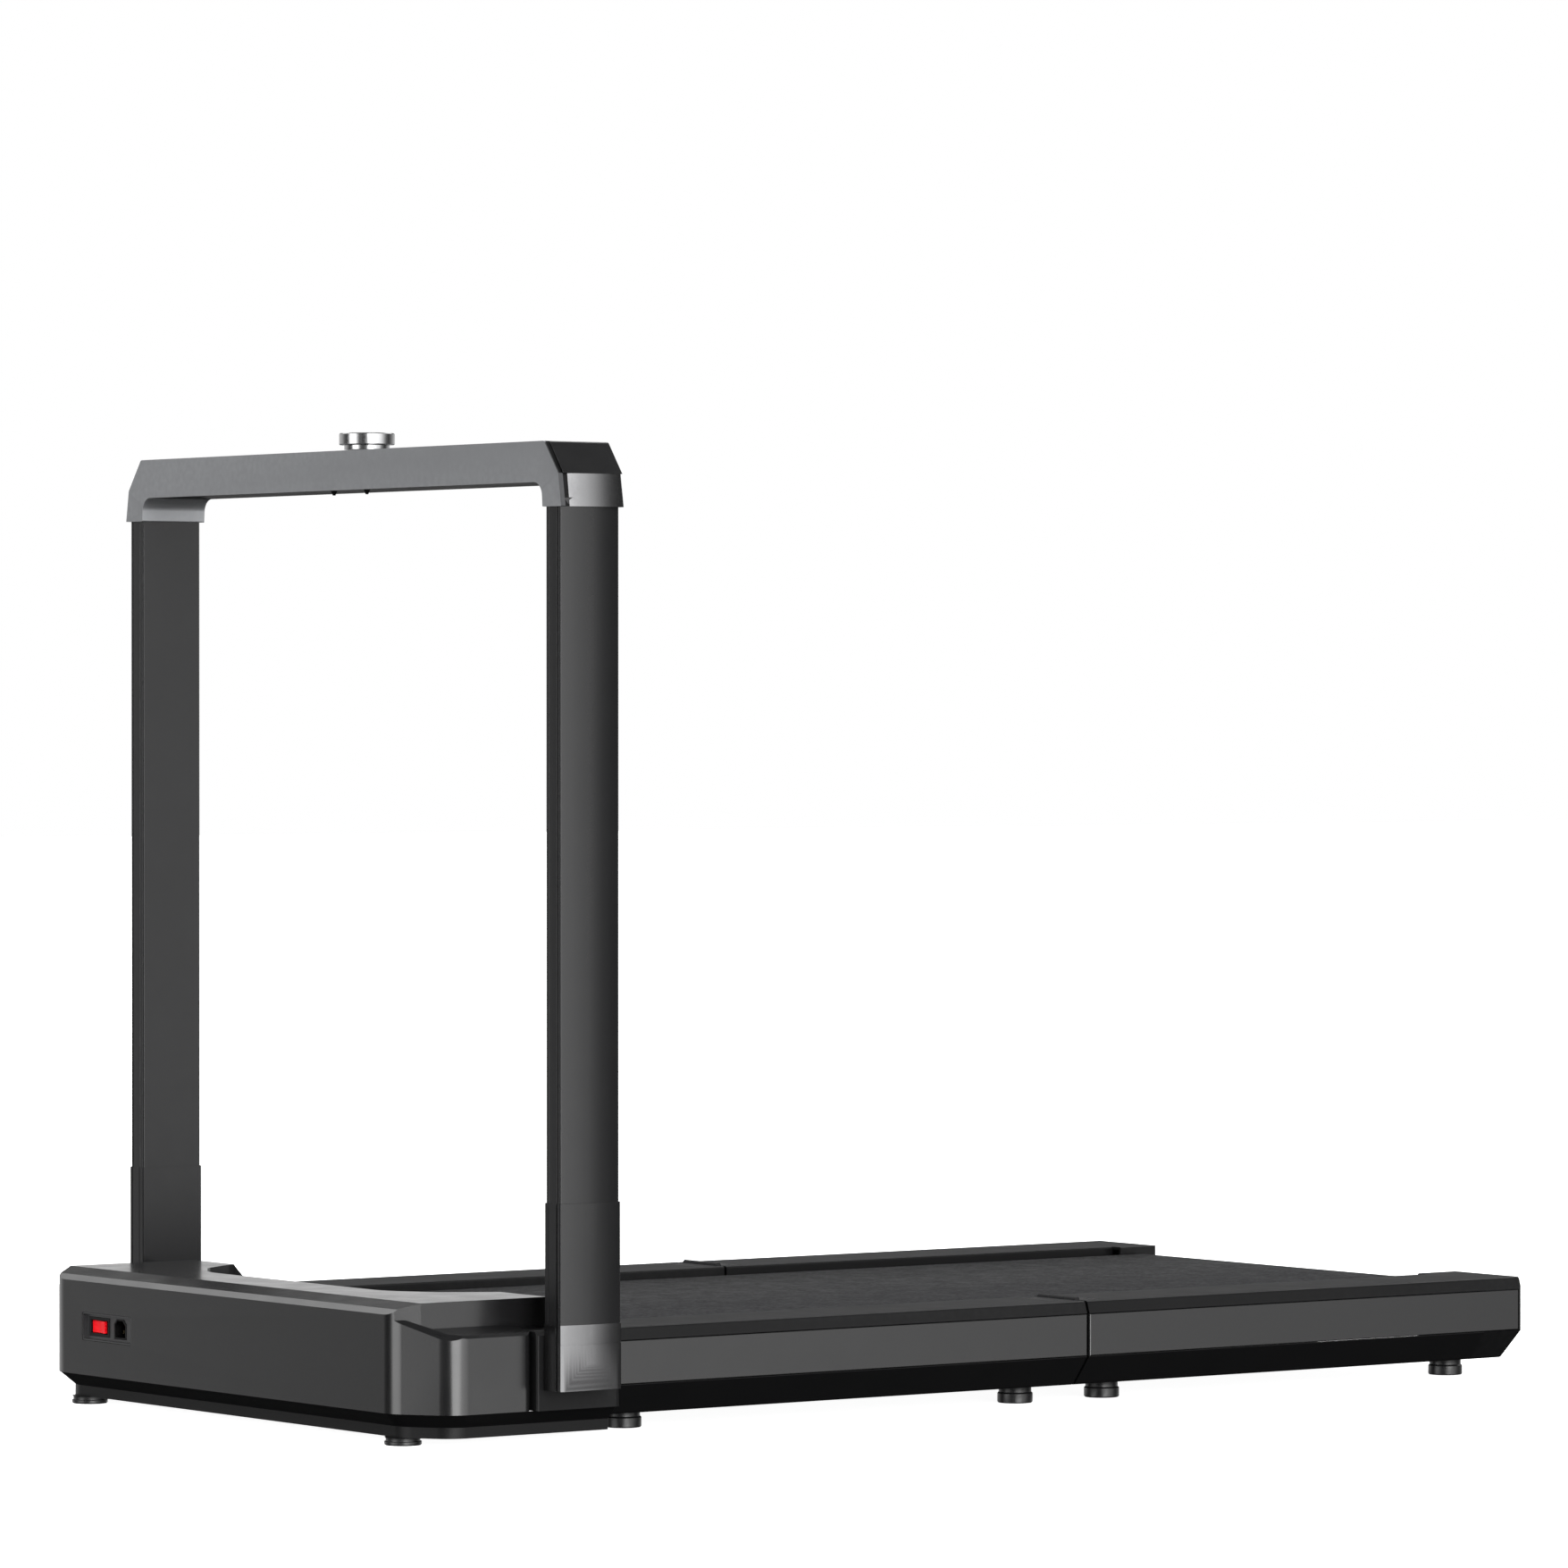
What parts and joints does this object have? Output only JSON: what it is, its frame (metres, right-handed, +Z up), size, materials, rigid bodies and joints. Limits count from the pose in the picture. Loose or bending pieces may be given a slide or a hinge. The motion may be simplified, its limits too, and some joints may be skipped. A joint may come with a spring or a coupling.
{
  "type": "treadmill",
  "caption": "Flat folding walking treadmill with a low motor hood, an upright arch handrail and a round control knob on its crossbar.",
  "frame": {"origin": "on the floor, under the middle of the whole object", "axes": "+Z up, +Y from the motor hood towards the rear end of the deck, +X to the left of a person who faces the handrail"},
  "size_m": [0.7452, 1.31, 0.922],
  "materials": {
    "hood_plastic": "fine moulded texture, satin",
    "side_panel_metal": "powder coat, satin",
    "black_plastic": "moulded, matt",
    "bezel_plastic": "moulded, satin",
    "rocker_red": "gloss",
    "contact_brass": "bright",
    "post_anodised": "black anodised extrusion, satin",
    "silver_metal": "satin silver",
    "crossbar_grey": "satin grey paint",
    "corner_black": "semi-gloss",
    "knob_metal": "turned, satin",
    "lens_glass": "smoked, polished",
    "circuit_board": "solder mask",
    "belt_rubber": "fine grained top",
    "drive_belt_rubber": "ribbed",
    "deck_wood": "dark resin-faced board",
    "frame_paint": "black powder coat",
    "roller_steel": "turned steel",
    "hinge_steel": "dark plated",
    "motor_cast": "painted casting",
    "sink_aluminium": "extruded",
    "foot_rubber": "matt"
  },
  "bodies": {
    "front_deck": {"hood_cover": "hood_plastic", "hood_tray": "black_plastic", "switch_bezel": "bezel_plastic", "rocker_frame": "black_plastic", "inlet_socket": "black_plastic", "inlet_pins": "contact_brass", "motor_housing": "motor_cast", "motor_cradle": "frame_paint", "drive_belt": "drive_belt_rubber", "controller_box": "black_plastic", "controller_heat_sink": "sink_aluminium", "front_roller_axle": "roller_steel", "front_walking_belt": "belt_rubber", "front_deck_board": "deck_wood", "front_frame_rails": "frame_paint", "front_crossbeams": "frame_paint", "front_belly_pan": "black_plastic", "hinge_leaves_front": "hinge_steel", "hinge_pins": "roller_steel", "front_rail_cover_left": "hood_plastic", "front_rail_cover_right": "hood_plastic", "front_side_panels": "side_panel_metal", "front_feet": "foot_rubber", "pivot_housings": "black_plastic", "pivot_pins": "roller_steel", "friction_washers": "black_plastic"},
    "power_rocker": {"power_rocker": "rocker_red"},
    "motor_rotor": {"motor_rotor": "roller_steel", "motor_pulley": "motor_cast"},
    "front_roller": {"front_roller": "roller_steel", "front_roller_bearings": "roller_steel", "front_roller_pulley": "motor_cast"},
    "handrail": {"knuckle_left": "silver_metal", "knuckle_right": "silver_metal", "post_left": "post_anodised", "post_right": "post_anodised", "lower_sleeves": "post_anodised", "crossbar": "crossbar_grey", "corner_caps": "corner_black", "post_caps": "silver_metal", "display_lens": "lens_glass", "console_board": "circuit_board", "crossbar_pegs": "black_plastic"},
    "knob_push": {"knob_spindle": "knob_metal"},
    "knob_dial": {"knob_dial": "knob_metal"},
    "rear_deck": {"rear_walking_belt": "belt_rubber", "rear_deck_board": "deck_wood", "rear_frame_rails": "frame_paint", "rear_crossbeams": "frame_paint", "rear_belly_pan": "black_plastic", "hinge_leaves_rear": "hinge_steel", "rear_rail_cover_left": "hood_plastic", "rear_rail_cover_right": "hood_plastic", "rear_side_panels": "side_panel_metal", "end_caps": "hood_plastic", "tension_bolts": "roller_steel", "rear_feet": "foot_rubber", "rear_roller_axle": "roller_steel"},
    "rear_roller": {"rear_roller": "roller_steel", "rear_roller_bearings": "roller_steel"}
  },
  "joints": [
    {"name": "handrail_fold", "type": "hinge", "parent": "front_deck", "child": "handrail", "pos_m": [0, -0.4905, 0.078], "axis": [-1, 0, 0], "range_deg": [0, 85]},
    {"name": "deck_fold", "type": "hinge", "parent": "front_deck", "child": "rear_deck", "pos_m": [0, 0.1065, 0.1013], "axis": [1, 0, 0], "range_deg": [0, 179.5]},
    {"name": "front_roller_spin", "type": "hinge", "parent": "front_deck", "child": "front_roller", "pos_m": [0, -0.554, 0.0712], "axis": [1, 0, 0], "continuous": true},
    {"name": "rear_roller_spin", "type": "hinge", "parent": "rear_deck", "child": "rear_roller", "pos_m": [0, 0.631, 0.0712], "axis": [1, 0, 0], "continuous": true},
    {"name": "motor_spin", "type": "hinge", "parent": "front_deck", "child": "motor_rotor", "pos_m": [0, -0.617, 0.055], "axis": [1, 0, 0], "continuous": true},
    {"name": "power_rocker_tip", "type": "hinge", "parent": "front_deck", "child": "power_rocker", "pos_m": [-0.217, -0.644, 0.07675], "axis": [0, 0, 1], "range_deg": [0, 16]},
    {"name": "knob_press", "type": "slide", "parent": "handrail", "child": "knob_push", "axis": [0, 0, -1], "range_m": [0, 0.0012], "stiffness_N_per_m": 900},
    {"name": "knob_turn", "type": "hinge", "parent": "knob_push", "child": "knob_dial", "pos_m": [0, -0.4905, 0.916], "axis": [0, 0, 1], "continuous": true}
  ],
  "couplings": [
    {"joint": "rear_roller_spin", "follows": "front_roller_spin", "ratio": 1},
    {"joint": "motor_spin", "follows": "front_roller_spin", "ratio": 2.1504}
  ]
}
